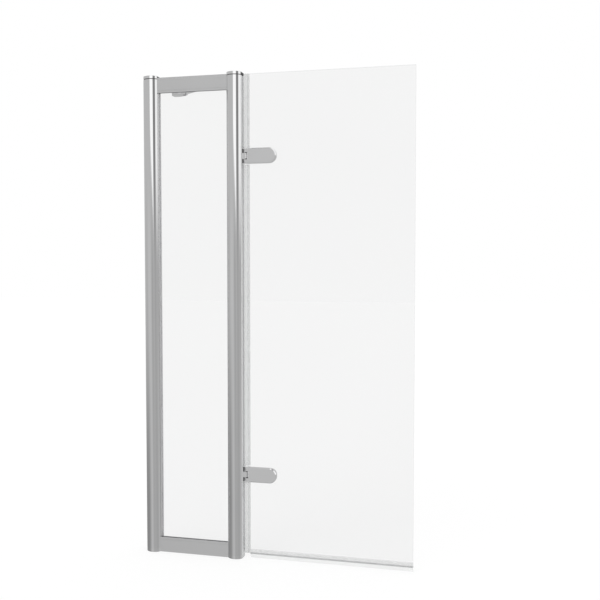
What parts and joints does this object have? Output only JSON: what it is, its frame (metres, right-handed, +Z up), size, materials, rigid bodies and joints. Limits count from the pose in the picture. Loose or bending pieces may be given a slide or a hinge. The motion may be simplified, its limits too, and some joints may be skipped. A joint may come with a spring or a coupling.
{
  "type": "bath screen",
  "caption": "hinged glass bath screen: a narrow framed fixed pane at the wall, a wide frameless wing on clamp hinges, and a brace to the wall",
  "frame": {"origin": "under the wall post, on its centre line and in the middle of the glass thickness", "axes": "+X along the screen away from the wall, +Y to the side the brace is on, +Z up"},
  "size_m": [0.792, 0.2495, 1.405],
  "materials": {
    "polished_aluminium": "bright polished, chrome-like",
    "aluminium": "satin anodised",
    "chrome": "bright chrome plate",
    "steel": "stainless, plain",
    "glass": "clear toughened glass, 6 mm",
    "seal": "clear flexible strip, slightly milky",
    "gasket": "matte dark grey",
    "pane_gasket": "matte light grey",
    "plastic": "matte dark nylon"
  },
  "bodies": {
    "frame": {"wall_profile": "aluminium", "wall_post": "polished_aluminium", "hinge_post": "polished_aluminium", "cap_top_wall": "chrome", "cap_top_hinge": "chrome", "cap_bottom_wall": "chrome", "cap_bottom_hinge": "chrome", "rail_top": "aluminium", "rail_bottom": "aluminium", "bead_top": "aluminium", "bead_bottom": "aluminium", "stile_wall": "aluminium", "stile_hinge": "aluminium", "fixed_glass": "glass", "gasket_top": "gasket", "gasket_bottom": "gasket", "gasket_wall": "pane_gasket", "gasket_hinge": "pane_gasket", "corner_blocks": "plastic", "corner_screws": "steel", "adjusting_screws": "steel", "hinge_leaf_lower": "chrome", "hinge_leaf_upper": "chrome", "leaf_screws_lower": "steel", "leaf_screws_upper": "steel", "leaf_liners_lower": "plastic", "leaf_liners_upper": "plastic", "hinge_washers_lower": "plastic", "hinge_washers_upper": "plastic", "brace_wall_base": "chrome", "brace_wall_block": "chrome", "brace_grub_screw": "steel", "brace_arm": "chrome", "brace_screws": "steel", "brace_nuts": "steel", "brace_lug": "chrome", "lug_screws": "steel"},
    "wing": {"wing_glass": "glass", "hinge_plate_lower": "chrome", "hinge_plate_upper": "chrome", "hinge_back_lower": "chrome", "hinge_back_upper": "chrome", "hinge_gasket_lower": "gasket", "hinge_gasket_upper": "gasket", "plate_screws_lower": "steel", "plate_screws_upper": "steel", "hinge_pin_lower": "steel", "hinge_pin_upper": "steel", "seal_side_lower": "seal", "seal_side_middle": "seal", "seal_side_upper": "seal", "seal_bottom": "seal"}
  },
  "joints": [
    {"name": "wing_hinge", "type": "hinge", "parent": "frame", "child": "wing", "pos_m": [0.289, -0.0085, 0.7045], "axis": [0, 0, -1], "range_deg": [0, 105]}
  ]
}
